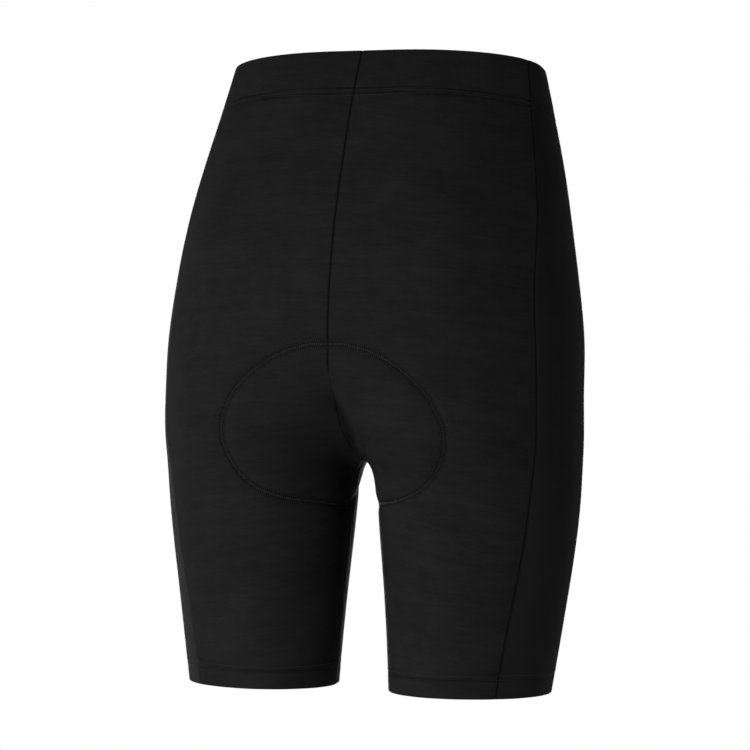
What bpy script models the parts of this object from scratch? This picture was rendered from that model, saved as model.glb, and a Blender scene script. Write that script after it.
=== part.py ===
"""Cycling shorts, standing in the shape they take on a wearer, with nobody inside.

The cloth follows one smooth form: two half lobes that meet in a soft fold at the middle,
so that the seat, the crotch arch and both legs are a single surface. Each panel is a grid
of points laid on that form between its seams and given a wall inwards. The wall is thicker
where the cloth is turned over an elastic at the waist and turned up at the hems.

Lengths are in millimetres up to the last step, which makes metres of them.
The origin is the middle of the waist opening. +X is the wearer's left, +Y the back.
"""
import math

import bmesh
import bpy
import numpy as np

# The garment's sizes.
MM = 0.001
CLOTH_WALL = 1.2
CASING_WALL = 3.0
HEM_WALL = 2.2
CASING_DEPTH = 33.0
HEM_DEPTH = 18.0
WALL_STEP = 2.5
FOLD_ROUNDING = 1.0
SEAM_HALF_GAP = 0.15
CROTCH_HALF_GAP = 0.2

# The waist's top edge, highest at the back, the hems' height over the crotch arch,
# and the place that becomes the origin.
WAIST_TOP_BACK = 334.0
WAIST_BACK_Y = 62.0
WAIST_SLOPE = 0.15
HEM_HEIGHT = -183.5
ORIGIN_Y = -16.0
ORIGIN_HEIGHT = 322.0

# The form, one row a height over the crotch arch.
# side: how far out the widest line runs. axis: the middle of one leg.
# fold: how strongly the inner side closes in, 0 is open and 1.25 is the crotch arch.
# back, front, widest: where the rear, the front and the widest line run, front to back.
# skew: how far the section leans round the leg. fullness: 2 is an ellipse, more is squarer.
SECTION_COLUMNS = (
    "height", "side", "axis", "fold", "back", "front", "widest", "skew", "fullness",
)
SECTIONS = (
    (345.0, 128.0, 25.0, 0.00, 56.0, -94.0, 0.0, 0.00, 2.00),
    (300.0, 138.5, 28.0, 0.00, 81.0, -98.0, 3.0, 0.00, 2.00),
    (240.0, 153.0, 34.0, 0.00, 106.0, -101.0, 12.0, 0.00, 2.00),
    (190.0, 162.0, 42.0, 0.02, 123.0, -102.0, 20.0, 0.00, 2.05),
    (140.0, 169.0, 52.0, 0.12, 132.0, -102.0, 28.0, 0.03, 2.10),
    (95.0, 173.0, 64.0, 0.32, 135.0, -100.0, 33.0, 0.05, 2.15),
    (55.0, 173.5, 77.0, 0.74, 134.0, -93.0, 36.0, 0.06, 2.15),
    (20.0, 174.5, 88.0, 1.09, 125.0, -83.0, 36.0, 0.07, 2.15),
    (0.0, 174.5, 92.0, 1.26, 118.0, -76.0, 35.0, 0.08, 2.10),
    (-30.0, 173.5, 93.5, 1.33, 111.0, -67.0, 34.0, 0.09, 2.10),
    (-105.0, 165.5, 92.5, 1.42, 103.0, -50.0, 34.0, 0.10, 2.05),
    (-190.0, 153.5, 89.5, 1.54, 98.0, -35.0, 38.0, 0.10, 2.00),
)
FOLD_SOFTNESS = 0.2
FORM_SCALE = 80.0
PROFILE_PIVOT_Y = 20.0
PROFILE_PIVOT_HEIGHT = 200.0

# The seams down the legs: a height, and the angle there from the side towards the back.
BACK_SEAM = (
    (335.0, 10.0), (290.0, 15.0), (210.0, 21.0), (145.0, 27.0), (95.0, 30.0), (50.0, 33.0),
    (10.0, 37.0), (-30.0, 40.0), (-75.0, 43.0), (-150.0, 50.0), (-190.0, 52.0),
)
FRONT_SEAM = (
    (335.0, -24.0), (290.0, -26.0), (210.0, -30.0), (145.0, -32.0), (95.0, -34.0), (50.0, -36.0),
    (10.0, -37.0), (-30.0, -38.0), (-75.0, -40.0), (-150.0, -44.0), (-190.0, -46.0),
)
INSEAM = ((0.0, 180.0), (-20.0, 182.0), (-60.0, 186.0), (-120.0, 190.0), (-190.0, 192.0))

# How finely the panels are divided. Rows and columns crowd towards the crotch, because the
# cloth turns tightly over the arch there.
ROWS_OVER_CROTCH = 20
ROWS_UNDER_CROTCH = 9
CROTCH_CROWDING = 1.3
LEG_CROWDING = 1.2
CROTCH_COLUMNS = (0.0, 0.018, 0.042, 0.078, 0.13)
BACK_EVEN_COLUMNS = 8
FRONT_EVEN_COLUMNS = 8
SIDE_COLUMNS = 7
SIDE_TURN = 0.65
RELAX_STEPS = 160
PANEL_BREADTH = 170.0

# The seat pad: the height of its rear end on the back seam, and, at distances from that end
# along the middle, its half width and its thickness.
PAD_BACK_HEIGHT = 95.0
PAD_HALF_WIDTHS = (
    (0.0, 13.0), (3.0, 27.0), (8.0, 42.0), (16.0, 57.0), (28.0, 75.0), (45.0, 91.0),
    (62.0, 98.0), (76.0, 96.0), (88.0, 89.0), (100.0, 76.0), (112.0, 62.0), (124.0, 50.0),
    (136.0, 44.0), (150.0, 41.0), (185.0, 39.0), (220.0, 41.0), (255.0, 40.0), (275.0, 31.0),
    (286.0, 19.0), (290.0, 11.0),
)
PAD_THICKNESSES = (
    (0.0, 2.0), (12.0, 3.5), (35.0, 8.0), (70.0, 10.0), (110.0, 9.0), (160.0, 7.0),
    (220.0, 6.0), (262.0, 4.5), (290.0, 2.0),
)
PAD_EDGE = 2.0
PAD_CHANNEL_DEPTH = 0.4
PAD_CHANNEL_WIDTH = 9.0
PAD_CLEARANCE = 1.1
PAD_COLUMNS = (0.0, 0.05, 0.11, 0.19, 0.29, 0.40, 0.51, 0.62, 0.74, 0.85, 0.94, 1.0)
PAD_ROWS = (
    0.0, 3.0, 10.0, 20.0, 32.0, 45.0, 58.0, 71.0, 84.0, 97.0, 109.0, 121.0, 133.0, 146.0, 160.0,
    175.0, 190.0, 206.0, 222.0, 238.0, 253.0, 266.0, 276.0, 284.0, 290.0,
)
WALK_STEP = 1.5

# Surface: colour, roughness, metallic.
CLOTH = ((0.013, 0.013, 0.014), 0.72, 0.0)
SIDE_CLOTH = ((0.006, 0.006, 0.007), 0.62, 0.0)
PAD_FLEECE = ((0.030, 0.031, 0.034), 0.90, 0.0)


def natural_spline(knots, values):
    """Smooth curves through rows of values, straight at both ends."""
    order = np.argsort(knots)
    x = np.asarray(knots, float)[order]
    y = np.asarray(values, float)[order]
    count = len(x)
    step = np.diff(x)
    system = np.eye(count)
    right = np.zeros_like(y)
    for i in range(1, count - 1):
        system[i, i - 1] = step[i - 1]
        system[i, i] = 2.0 * (step[i - 1] + step[i])
        system[i, i + 1] = step[i]
        rise_after = (y[i + 1] - y[i]) / step[i]
        rise_before = (y[i] - y[i - 1]) / step[i - 1]
        right[i] = 6.0 * (rise_after - rise_before)
    bend = np.linalg.solve(system, right)

    def value(at):
        at = np.asarray(at, float)
        cell = np.clip(np.searchsorted(x, at) - 1, 0, count - 2)
        width = step[cell][..., None]
        after = (at - x[cell])[..., None]
        before = width - after
        low = y[cell] / width - bend[cell] * width / 6.0
        high = y[cell + 1] / width - bend[cell + 1] * width / 6.0
        cubic = (bend[cell] * before ** 3 + bend[cell + 1] * after ** 3) / (6.0 * width)
        return cubic + low * before + high * after

    return value


def table_curve(table):
    """A smooth curve through the pairs of a two-column table."""
    pairs = np.array(table)
    curve = natural_spline(pairs[:, 0], pairs[:, 1:])
    return lambda at: curve(at)[..., 0]


SECTION_ROWS = np.array(SECTIONS)
SECTION_CURVES = natural_spline(SECTION_ROWS[:, 0], SECTION_ROWS[:, 1:])
LOWEST_SECTION = SECTION_ROWS[:, 0].min()
HIGHEST_SECTION = SECTION_ROWS[:, 0].max()


def section_at(height):
    """The section's sizes at a height, by name."""
    values = SECTION_CURVES(np.clip(height, LOWEST_SECTION, HIGHEST_SECTION))
    return {name: values[..., i] for i, name in enumerate(SECTION_COLUMNS[1:])}


def form_value(points):
    """Below zero inside the garment, zero on its outer face, above zero outside."""
    x, y, z = points[..., 0], points[..., 1], points[..., 2]
    size = section_at(z)
    from_middle = np.sqrt(x * x + (FOLD_SOFTNESS * size["axis"]) ** 2)
    across = from_middle - size["axis"]
    along = y - size["widest"] + size["skew"] * across
    outer = np.maximum(across, 0.0) / (size["side"] - size["axis"])
    inner = np.maximum(-across, 0.0) * np.maximum(size["fold"], 0.0) / size["axis"]
    rear = np.maximum(along, 0.0) / (size["back"] - size["widest"])
    fore = np.maximum(-along, 0.0) / (size["widest"] - size["front"])
    power = size["fullness"]
    reach = ((outer + inner) ** power + (rear + fore) ** power) ** (1.0 / power)
    return (reach - 1.0) * FORM_SCALE


def form_slope(points, step=0.4):
    """Gradient of the form's value."""
    parts = []
    for axis in range(3):
        shift = np.zeros(3)
        shift[axis] = step
        rise = form_value(points + shift) - form_value(points - shift)
        parts.append(rise / (2.0 * step))
    return np.stack(parts, -1)


def form_normal(points):
    """Unit vectors that point out of the garment."""
    slope = form_slope(points)
    return slope / np.linalg.norm(slope, axis=-1, keepdims=True)


def settle(points, rounds=3):
    """Move points straight onto the form."""
    for _ in range(rounds):
        slope = form_slope(points)
        strength = (slope * slope).sum(-1, keepdims=True)
        points = points - form_value(points)[..., None] * slope / strength
    return points


def first_crossing(start, direction, reach, samples):
    """The first place along each ray where it leaves the garment."""
    distances = np.linspace(0.0, reach, samples)
    outside = np.stack([form_value(start + direction * d) > 0.0 for d in distances])
    index = np.maximum(outside.argmax(0), 1)
    low = distances[index - 1]
    high = distances[index]
    for _ in range(30):
        middle = (low + high) / 2.0
        beyond = form_value(start + direction * middle[..., None]) > 0.0
        high = np.where(beyond, middle, high)
        low = np.where(beyond, low, middle)
    return start + direction * ((low + high) / 2.0)[..., None]


def round_leg(height, degrees):
    """Points of the form at the given heights and angles round the leg's axis."""
    size = section_at(height)
    turn = np.radians(degrees)
    start = np.stack([size["axis"], size["widest"], height], -1)
    direction = np.stack([np.cos(turn), np.sin(turn), np.zeros_like(turn)], -1)
    return first_crossing(start, direction, 140.0, 90)


def waist_height(y):
    """Height of the waist's top edge."""
    return WAIST_TOP_BACK + WAIST_SLOPE * (y - WAIST_BACK_Y)


def distances_along(line):
    """Distance from the first point to each point of a line."""
    steps = np.linalg.norm(np.diff(line, axis=0), axis=1)
    return np.concatenate([[0.0], np.cumsum(steps)])


def points_at(line, distances):
    """Points of a line at the given distances from its start."""
    measured = distances_along(line)
    return np.stack([np.interp(distances, measured, line[:, axis]) for axis in range(3)], -1)


def trim_to_waist(line):
    """Cut a line that starts over the waist's edge where it crosses that edge."""
    over = line[:, 2] - waist_height(line[:, 1])
    first = int(np.argmax(over <= 0.0))
    share = over[first - 1] / (over[first - 1] - over[first])
    crossing = line[first - 1] + share * (line[first] - line[first - 1])
    return np.concatenate([crossing[None], line[first:]])


def middle_line(samples=1400):
    """The line down the middle of the back, through the crotch and up the front."""
    turn = np.radians(np.linspace(78.0, -230.0, samples))
    direction = np.stack([np.zeros(samples), np.cos(turn), np.sin(turn)], -1)
    start = np.zeros((samples, 3))
    start[:, 1] = PROFILE_PIVOT_Y
    start[:, 2] = PROFILE_PIVOT_HEIGHT
    line = first_crossing(start, direction, 330.0, 160)
    return trim_to_waist(trim_to_waist(line)[::-1])[::-1]


def leg_line(seam, top=None):
    """A seam down one leg, from the waist or from a given top point to the hem."""
    angle = table_curve(seam)
    if top is None:
        height = np.linspace(WAIST_TOP_BACK, HEM_HEIGHT, 420)
        return trim_to_waist(round_leg(height, angle(height)))
    height = np.linspace(top[2] - 1.5, HEM_HEIGHT, 220)
    return np.concatenate([top[None], round_leg(height, angle(height))])


def waist_line(start, end, samples=160):
    """The waist's top edge from one seam to the next."""
    share = np.linspace(0.0, 1.0, samples)[:, None]
    line = start + share * (end - start)
    for _ in range(12):
        line = settle(line, rounds=1)
        line[:, 2] = waist_height(line[:, 1])
    return line


def hem_line(start, end, samples=160):
    """The hem's lower edge from one seam to the next."""
    size = section_at(HEM_HEIGHT)
    centre = np.array([float(size["axis"]), float(size["widest"])])
    turns = [math.degrees(math.atan2(p[1] - centre[1], p[0] - centre[0])) for p in (start, end)]
    if turns[0] < turns[1] - 180.0:
        turns[0] += 360.0
    if turns[1] < turns[0] - 180.0:
        turns[1] += 360.0
    return round_leg(np.full(samples, HEM_HEIGHT), np.linspace(turns[0], turns[1], samples))


def row_distances(length, turn):
    """Where a seam's rows lie: the waist's casing, down to the crotch's level, and to the hem."""
    casing = [0.0, FOLD_ROUNDING, CASING_DEPTH / 2.0, CASING_DEPTH - WALL_STEP]
    hem = [length - HEM_DEPTH + WALL_STEP, length - HEM_DEPTH / 2.0]
    hem += [length - FOLD_ROUNDING, length]
    over = np.linspace(1.0, 0.0, ROWS_OVER_CROTCH + 1) ** CROTCH_CROWDING
    under = np.linspace(0.0, 1.0, ROWS_UNDER_CROTCH + 1)[1:] ** LEG_CROWDING
    upper = turn - (turn - CASING_DEPTH) * over
    lower = turn + (length - HEM_DEPTH - turn) * under
    return np.concatenate([casing, upper, lower, hem])


CROTCH_ROW = 4 + ROWS_OVER_CROTCH


def row_walls():
    """The cloth's wall at each row."""
    plain = ROWS_OVER_CROTCH + ROWS_UNDER_CROTCH + 1
    return np.array([CASING_WALL] * 4 + [CLOTH_WALL] * plain + [HEM_WALL] * 4)


def graded_columns(even):
    """Columns close together beside the middle and even beyond."""
    rest = np.linspace(CROTCH_COLUMNS[-1], 1.0, even + 1)[1:]
    return np.concatenate([CROTCH_COLUMNS, rest])


def seam_points(line, turn):
    """A seam's line as one point a row, with the row at the crotch's level at the given turn."""
    return points_at(line, row_distances(distances_along(line)[-1], turn))


def laid_grid(left, right, top, bottom, columns):
    """A grid of points on the form between two seams' points, a waist line and a hem line."""
    left_at = distances_along(left)
    right_at = distances_along(right)
    sides = [left, right]
    ends = [points_at(line, columns * distances_along(line)[-1]) for line in (top, bottom)]
    across = columns[None, :, None]
    down = (left_at / left_at[-1])[:, None, None]
    grid = (1.0 - across) * sides[0][:, None] + across * sides[1][:, None]
    grid = grid + (1.0 - down) * ends[0][None] + down * ends[1][None]
    for row, weight in ((0, 1.0 - down), (-1, down)):
        grid = grid - weight * ((1.0 - across) * sides[0][row] + across * sides[1][row])
    grid[:, 0] = sides[0]
    grid[:, -1] = sides[1]
    grid[0] = ends[0]
    grid[-1] = ends[1]
    grid[1:-1, 1:-1] = settle(grid[1:-1, 1:-1], rounds=8)
    rows_at = (left_at + right_at) / 2.0
    return relaxed(grid, columns * PANEL_BREADTH, rows_at)


def relaxed(grid, column_at, row_at):
    """Let the inner points slide on the form until they are spread like their spacing."""
    column_gap = np.diff(column_at)
    row_gap = np.diff(row_at)
    column_share = (column_gap[1:] + column_gap[:-1]) / 2.0
    row_share = (row_gap[1:] + row_gap[:-1]) / 2.0
    before = (row_share[:, None] / column_gap[None, :-1])[..., None]
    after = (row_share[:, None] / column_gap[None, 1:])[..., None]
    above = (column_share[None, :] / row_gap[:-1, None])[..., None]
    below = (column_share[None, :] / row_gap[1:, None])[..., None]
    total = before + after + above + below
    for _ in range(RELAX_STEPS):
        pull = before * grid[1:-1, :-2] + after * grid[1:-1, 2:]
        pull = pull + above * grid[:-2, 1:-1] + below * grid[2:, 1:-1]
        grid[1:-1, 1:-1] = settle(pull / total, rounds=1)
    return grid


def draw_in(grid, edge_column, next_column, middle_seam=False):
    """Draw an edge column in by half the seam's gap. The crotch point is drawn in both ways."""
    edge = grid[:, edge_column].copy()
    tangent = np.gradient(edge, axis=0)
    inward = np.cross(form_normal(edge), tangent)
    inward /= np.linalg.norm(inward, axis=1, keepdims=True)
    facing = np.sign((inward * (grid[:, next_column] - edge)).sum(1, keepdims=True))
    moved = edge + SEAM_HALF_GAP * facing * inward
    if middle_seam:
        moved[:CROTCH_ROW + 1] = edge[:CROTCH_ROW + 1]
        moved[:CROTCH_ROW + 1, 0] = SEAM_HALF_GAP
        away = np.sign(edge[CROTCH_ROW - 1, 1] - edge[CROTCH_ROW, 1])
        moved[CROTCH_ROW, 1] += CROTCH_HALF_GAP * away
    grid[:, edge_column] = moved


def panel_faces(outer, walls):
    """Points and faces of a closed wall: outer rows, inner rows, and a rounded fold at each end."""
    rows, columns = outer.shape[:2]
    inner = outer - form_normal(outer) * walls[:, None, None]
    middle = outer - form_normal(outer) * walls[:, None, None] / 2.0
    ring = np.concatenate([middle[:1], outer[1:-1], middle[-1:], inner[-2:0:-1]])
    count = len(ring)
    faces = []
    for row in range(count):
        following = (row + 1) % count
        for column in range(columns - 1):
            low, high = row * columns + column, following * columns + column
            faces.append((low, high, high + 1, low + 1))
    for column in (0, columns - 1):
        for row in range(rows - 1):
            corners = [row, row + 1, (count - row - 1) % count, (count - row) % count]
            corners = [corner * columns + column for corner in corners]
            faces.append(tuple(dict.fromkeys(corners)))
    return ring.reshape(-1, 3), faces


def walked_rows(starts, columns, half_widths):
    """Rows of points walked over the form from the middle towards the wearer's left."""
    steps = int(math.ceil(half_widths.max() / WALK_STEP)) + 1
    places = [starts]
    heading = np.tile([1.0, 0.0, 0.0], (len(starts), 1))
    for _ in range(steps):
        here = places[-1]
        there = settle(here + heading * WALK_STEP, rounds=2)
        normal = form_normal(there)
        heading = there - here
        heading = heading - (heading * normal).sum(1, keepdims=True) * normal
        heading = heading / np.linalg.norm(heading, axis=1, keepdims=True)
        places.append(there)
    paths = np.stack(places, 1)
    walked = [points_at(path, columns * width) for path, width in zip(paths, half_widths)]
    return np.stack(walked)


def pad_grids():
    """The pad's outline points on the form, from right to left, and its thickness at each."""
    line = middle_line()
    along = distances_along(line)
    first = int(np.argmax((line[:, 2] < PAD_BACK_HEIGHT) & (line[:, 1] > 0.0)))
    rows = np.array(PAD_ROWS)
    starts = settle(points_at(line, along[first] + rows))
    half_widths = table_curve(PAD_HALF_WIDTHS)(rows)
    columns = np.array(PAD_COLUMNS)
    left = walked_rows(starts, columns, half_widths)
    right = left[:, :0:-1] * np.array([-1.0, 1.0, 1.0])
    grid = np.concatenate([right, left], 1)
    share = np.concatenate([-columns[:0:-1], columns])
    offset = share[None, :] * half_widths[:, None]
    body = np.maximum(1.0 - np.abs(share) ** 3, 0.0)[None, :]
    lobe = table_curve(PAD_THICKNESSES)(rows)[:, None] - PAD_EDGE
    channel = 1.0 - PAD_CHANNEL_DEPTH * np.exp(-(offset / PAD_CHANNEL_WIDTH) ** 2)
    return grid, PAD_EDGE + lobe * body * channel


def pad_faces(grid, thickness):
    """Points and faces of the closed pad, lying inside the cloth."""
    rows, columns = grid.shape[:2]
    normal = form_normal(grid)
    outer = grid - normal * (CLOTH_WALL + PAD_CLEARANCE)
    inner = outer - normal * thickness[..., None]
    points = np.concatenate([outer.reshape(-1, 3), inner.reshape(-1, 3)])
    size = rows * columns
    faces = []
    for row in range(rows - 1):
        for column in range(columns - 1):
            low, high = row * columns + column, (row + 1) * columns + column
            faces.append((low, high, high + 1, low + 1))
            faces.append((low + size, low + 1 + size, high + 1 + size, high + size))
    border = [column for column in range(columns)]
    border += [row * columns + columns - 1 for row in range(1, rows)]
    border += [(rows - 1) * columns + column for column in range(columns - 2, -1, -1)]
    border += [row * columns for row in range(rows - 2, 0, -1)]
    for here, there in zip(border, border[1:] + border[:1]):
        faces.append((here, there, there + size, here + size))
    return points, faces


def surface(name, look):
    """A material with the cloth's colour, roughness and metallic."""
    color, roughness, metallic = look
    material = bpy.data.materials.new(name)
    material.use_nodes = True
    shader = material.node_tree.nodes["Principled BSDF"]
    shader.inputs["Base Color"].default_value = (*color, 1.0)
    shader.inputs["Roughness"].default_value = roughness
    shader.inputs["Metallic"].default_value = metallic
    return material


def add_piece(collection, name, points, faces, look, mirror=False):
    """One named solid in metres about the origin. A mirrored one is the wearer's right."""
    placed = points - np.array([0.0, ORIGIN_Y, ORIGIN_HEIGHT])
    if mirror:
        placed = placed * np.array([-1.0, 1.0, 1.0])
    solid = bmesh.new()
    corners = [solid.verts.new(point) for point in placed * MM]
    for face in faces:
        solid.faces.new([corners[index] for index in face])
    bmesh.ops.recalc_face_normals(solid, faces=solid.faces)
    bmesh.ops.triangulate(solid, faces=solid.faces, quad_method="SHORT_EDGE")
    mesh = bpy.data.meshes.new(name)
    solid.to_mesh(mesh)
    solid.free()
    mesh.shade_smooth()
    mesh.set_sharp_from_angle(angle=math.radians(50.0))
    mesh.materials.append(surface(name + "_cloth", look))
    piece = bpy.data.objects.new(name, mesh)
    collection.objects.link(piece)
    return piece


def panel_grids():
    """The three panels of the wearer's left half, as grids of points on the form."""
    whole = middle_line()
    lowest = int(np.argmin(whole[:, 2]))
    inseam = leg_line(INSEAM, top=whole[lowest])
    middles = {
        "back": np.concatenate([whole[:lowest], inseam]),
        "front": np.concatenate([whole[:lowest:-1], inseam]),
    }
    seams = {"back": leg_line(BACK_SEAM), "front": leg_line(FRONT_SEAM)}
    outer_edges = {}
    grids = {}
    for name, even in (("back", BACK_EVEN_COLUMNS), ("front", FRONT_EVEN_COLUMNS)):
        inseam_length = distances_along(inseam)[-1]
        middle_length = distances_along(middles[name])[-1]
        middle = seam_points(middles[name], middle_length - inseam_length)
        seam_length = distances_along(seams[name])[-1]
        outer_edges[name] = seam_points(seams[name], seam_length * SIDE_TURN)
        top = waist_line(middle[0], outer_edges[name][0])
        bottom = hem_line(middle[-1], outer_edges[name][-1])
        columns = graded_columns(even)
        grids[name] = laid_grid(middle, outer_edges[name], top, bottom, columns)
    top = waist_line(outer_edges["back"][0], outer_edges["front"][0])
    bottom = hem_line(outer_edges["back"][-1], outer_edges["front"][-1])
    even = np.linspace(0.0, 1.0, SIDE_COLUMNS + 1)
    grids["side"] = laid_grid(outer_edges["back"], outer_edges["front"], top, bottom, even)
    draw_in(grids["back"], 0, 1, middle_seam=True)
    draw_in(grids["front"], 0, 1, middle_seam=True)
    draw_in(grids["back"], -1, -2)
    draw_in(grids["front"], -1, -2)
    draw_in(grids["side"], 0, 1)
    draw_in(grids["side"], -1, -2)
    return grids


def build():
    """Make every piece of the shorts."""
    for item in list(bpy.data.objects):
        bpy.data.objects.remove(item, do_unlink=True)
    collection = bpy.data.collections.new("cycling_shorts")
    bpy.context.scene.collection.children.link(collection)
    for name, grid in panel_grids().items():
        look = SIDE_CLOTH if name == "side" else CLOTH
        points, faces = panel_faces(grid, row_walls())
        add_piece(collection, name + "_left", points, faces, look)
        add_piece(collection, name + "_right", points, faces, look, mirror=True)
    points, faces = pad_faces(*pad_grids())
    add_piece(collection, "seat_pad", points, faces, PAD_FLEECE)


build()
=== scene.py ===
# %% [markdown]
# These are cycling shorts: six panels of black stretch knit, a waist elastic sewn into the
# panels' own turned-over top, turned-up hems, and a foam pad sewn inside the seat. They keep
# the shape they have on a wearer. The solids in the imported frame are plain, so this lesson
# gives each one a finer cloth shell on the same form, with its seams, stitches and creases.

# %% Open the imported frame
import math

import bmesh
import bpy
import numpy as np
from mathutils import Matrix, Vector


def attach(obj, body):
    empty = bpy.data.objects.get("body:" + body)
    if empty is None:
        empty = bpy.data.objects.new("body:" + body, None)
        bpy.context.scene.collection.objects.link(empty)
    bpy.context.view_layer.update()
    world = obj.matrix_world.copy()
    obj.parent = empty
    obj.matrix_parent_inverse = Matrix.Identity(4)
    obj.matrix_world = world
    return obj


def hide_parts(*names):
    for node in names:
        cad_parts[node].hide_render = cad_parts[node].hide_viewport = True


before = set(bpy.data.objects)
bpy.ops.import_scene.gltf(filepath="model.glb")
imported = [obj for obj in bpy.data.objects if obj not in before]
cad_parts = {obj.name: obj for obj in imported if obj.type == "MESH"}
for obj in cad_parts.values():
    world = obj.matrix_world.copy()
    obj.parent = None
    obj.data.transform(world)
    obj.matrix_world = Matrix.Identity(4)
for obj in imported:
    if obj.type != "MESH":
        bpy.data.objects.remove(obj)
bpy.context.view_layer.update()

print("solids in the frame:", sorted(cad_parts))

# %% [markdown]
# A garment's sizes are easiest to read in millimetres, so every length below is one, and the
# last step turns them into metres. Heights are counted from the crotch arch, where the legs
# part. The waist opening's middle becomes the origin.

# %% Sizes of the shorts
MM = 0.001
ORIGIN = np.array([0.0, -16.0, 322.0])
CLOTH_WALL = 1.2
CASING_WALL = 3.0
HEM_WALL = 2.2
WAIST_TOP_BACK = 334.0
WAIST_BACK_Y = 62.0
WAIST_SLOPE = 0.15
HEM_HEIGHT = -183.5
CASING_STITCHES = (37.2, 41.8)
HEM_STITCHES = (14.8, 19.6)
RING_STITCHES = (-2.4, 2.4)
SEAM_HALF_GAP = 0.15

# %% [markdown]
# The body of the shorts is one smooth surface. A table gives its cross-section at a few
# heights and a cubic spline fills in between, the way a pattern cutter joins measured girths
# with a flexible curve. Two half lobes meet in a soft fold at the middle, which makes the
# seat, the crotch arch and both legs a single form.

# %% Sections of the form
SECTION_COLUMNS = (
    "height", "side", "axis", "fold", "back", "front", "widest", "skew", "fullness",
)
SECTIONS = (
    (345.0, 128.0, 25.0, 0.00, 56.0, -94.0, 0.0, 0.00, 2.00),
    (300.0, 138.5, 28.0, 0.00, 81.0, -98.0, 3.0, 0.00, 2.00),
    (240.0, 153.0, 34.0, 0.00, 106.0, -101.0, 12.0, 0.00, 2.00),
    (190.0, 162.0, 42.0, 0.02, 123.0, -102.0, 20.0, 0.00, 2.05),
    (140.0, 169.0, 52.0, 0.12, 132.0, -102.0, 28.0, 0.03, 2.10),
    (95.0, 173.0, 64.0, 0.32, 135.0, -100.0, 33.0, 0.05, 2.15),
    (55.0, 173.5, 77.0, 0.74, 134.0, -93.0, 36.0, 0.06, 2.15),
    (20.0, 174.5, 88.0, 1.09, 125.0, -83.0, 36.0, 0.07, 2.15),
    (0.0, 174.5, 92.0, 1.26, 118.0, -76.0, 35.0, 0.08, 2.10),
    (-30.0, 173.5, 93.5, 1.33, 111.0, -67.0, 34.0, 0.09, 2.10),
    (-105.0, 165.5, 92.5, 1.42, 103.0, -50.0, 34.0, 0.10, 2.05),
    (-190.0, 153.5, 89.5, 1.54, 98.0, -35.0, 38.0, 0.10, 2.00),
)
FOLD_SOFTNESS = 0.2
FORM_SCALE = 80.0


def natural_spline(knots, values):
    """Smooth curves through rows of values, straight at both ends."""
    order = np.argsort(knots)
    x = np.asarray(knots, float)[order]
    y = np.asarray(values, float)[order]
    count = len(x)
    step = np.diff(x)
    system = np.eye(count)
    right = np.zeros_like(y)
    for i in range(1, count - 1):
        system[i, i - 1] = step[i - 1]
        system[i, i] = 2.0 * (step[i - 1] + step[i])
        system[i, i + 1] = step[i]
        right[i] = 6.0 * ((y[i + 1] - y[i]) / step[i] - (y[i] - y[i - 1]) / step[i - 1])
    bend = np.linalg.solve(system, right)

    def value(at):
        at = np.asarray(at, float)
        cell = np.clip(np.searchsorted(x, at) - 1, 0, count - 2)
        width = step[cell][..., None]
        after = (at - x[cell])[..., None]
        before = width - after
        low = y[cell] / width - bend[cell] * width / 6.0
        high = y[cell + 1] / width - bend[cell + 1] * width / 6.0
        cubic = (bend[cell] * before ** 3 + bend[cell + 1] * after ** 3) / (6.0 * width)
        return cubic + low * before + high * after

    return value


def table_curve(table):
    """A smooth curve through the pairs of a two-column table."""
    pairs = np.array(table)
    curve = natural_spline(pairs[:, 0], pairs[:, 1:])
    return lambda at: curve(at)[..., 0]


section_rows = np.array(SECTIONS)
section_curves = natural_spline(section_rows[:, 0], section_rows[:, 1:])
print("sections:", len(SECTIONS))

# %% [markdown]
# The surface is where a function of a point is zero. That form is handy twice over: its slope
# is the cloth's outward direction, and any point can be slid onto the cloth in a few steps.


# %% The form as a function
def section_at(height):
    """The section's sizes at a height, by name."""
    inside = np.clip(height, section_rows[:, 0].min(), section_rows[:, 0].max())
    values = section_curves(inside)
    return {name: values[..., i] for i, name in enumerate(SECTION_COLUMNS[1:])}


def form_value(points):
    """Below zero inside the garment, zero on its outer face, above zero outside."""
    x, y, z = points[..., 0], points[..., 1], points[..., 2]
    size = section_at(z)
    from_middle = np.sqrt(x * x + (FOLD_SOFTNESS * size["axis"]) ** 2)
    across = from_middle - size["axis"]
    along = y - size["widest"] + size["skew"] * across
    outer = np.maximum(across, 0.0) / (size["side"] - size["axis"])
    inner = np.maximum(-across, 0.0) * np.maximum(size["fold"], 0.0) / size["axis"]
    rear = np.maximum(along, 0.0) / (size["back"] - size["widest"])
    fore = np.maximum(-along, 0.0) / (size["widest"] - size["front"])
    power = size["fullness"]
    reach = ((outer + inner) ** power + (rear + fore) ** power) ** (1.0 / power)
    return (reach - 1.0) * FORM_SCALE


def form_slope(points, step=0.4):
    """Gradient of the form's value."""
    parts = []
    for axis in range(3):
        shift = np.zeros(3)
        shift[axis] = step
        parts.append((form_value(points + shift) - form_value(points - shift)) / (2.0 * step))
    return np.stack(parts, -1)


def form_normal(points):
    """Unit vectors that point out of the garment."""
    slope = form_slope(points)
    return slope / np.linalg.norm(slope, axis=-1, keepdims=True)


def settle(points, rounds=3):
    """Move points straight onto the form."""
    for _ in range(rounds):
        slope = form_slope(points)
        strength = (slope * slope).sum(-1, keepdims=True)
        points = points - form_value(points)[..., None] * slope / strength
    return points


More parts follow.
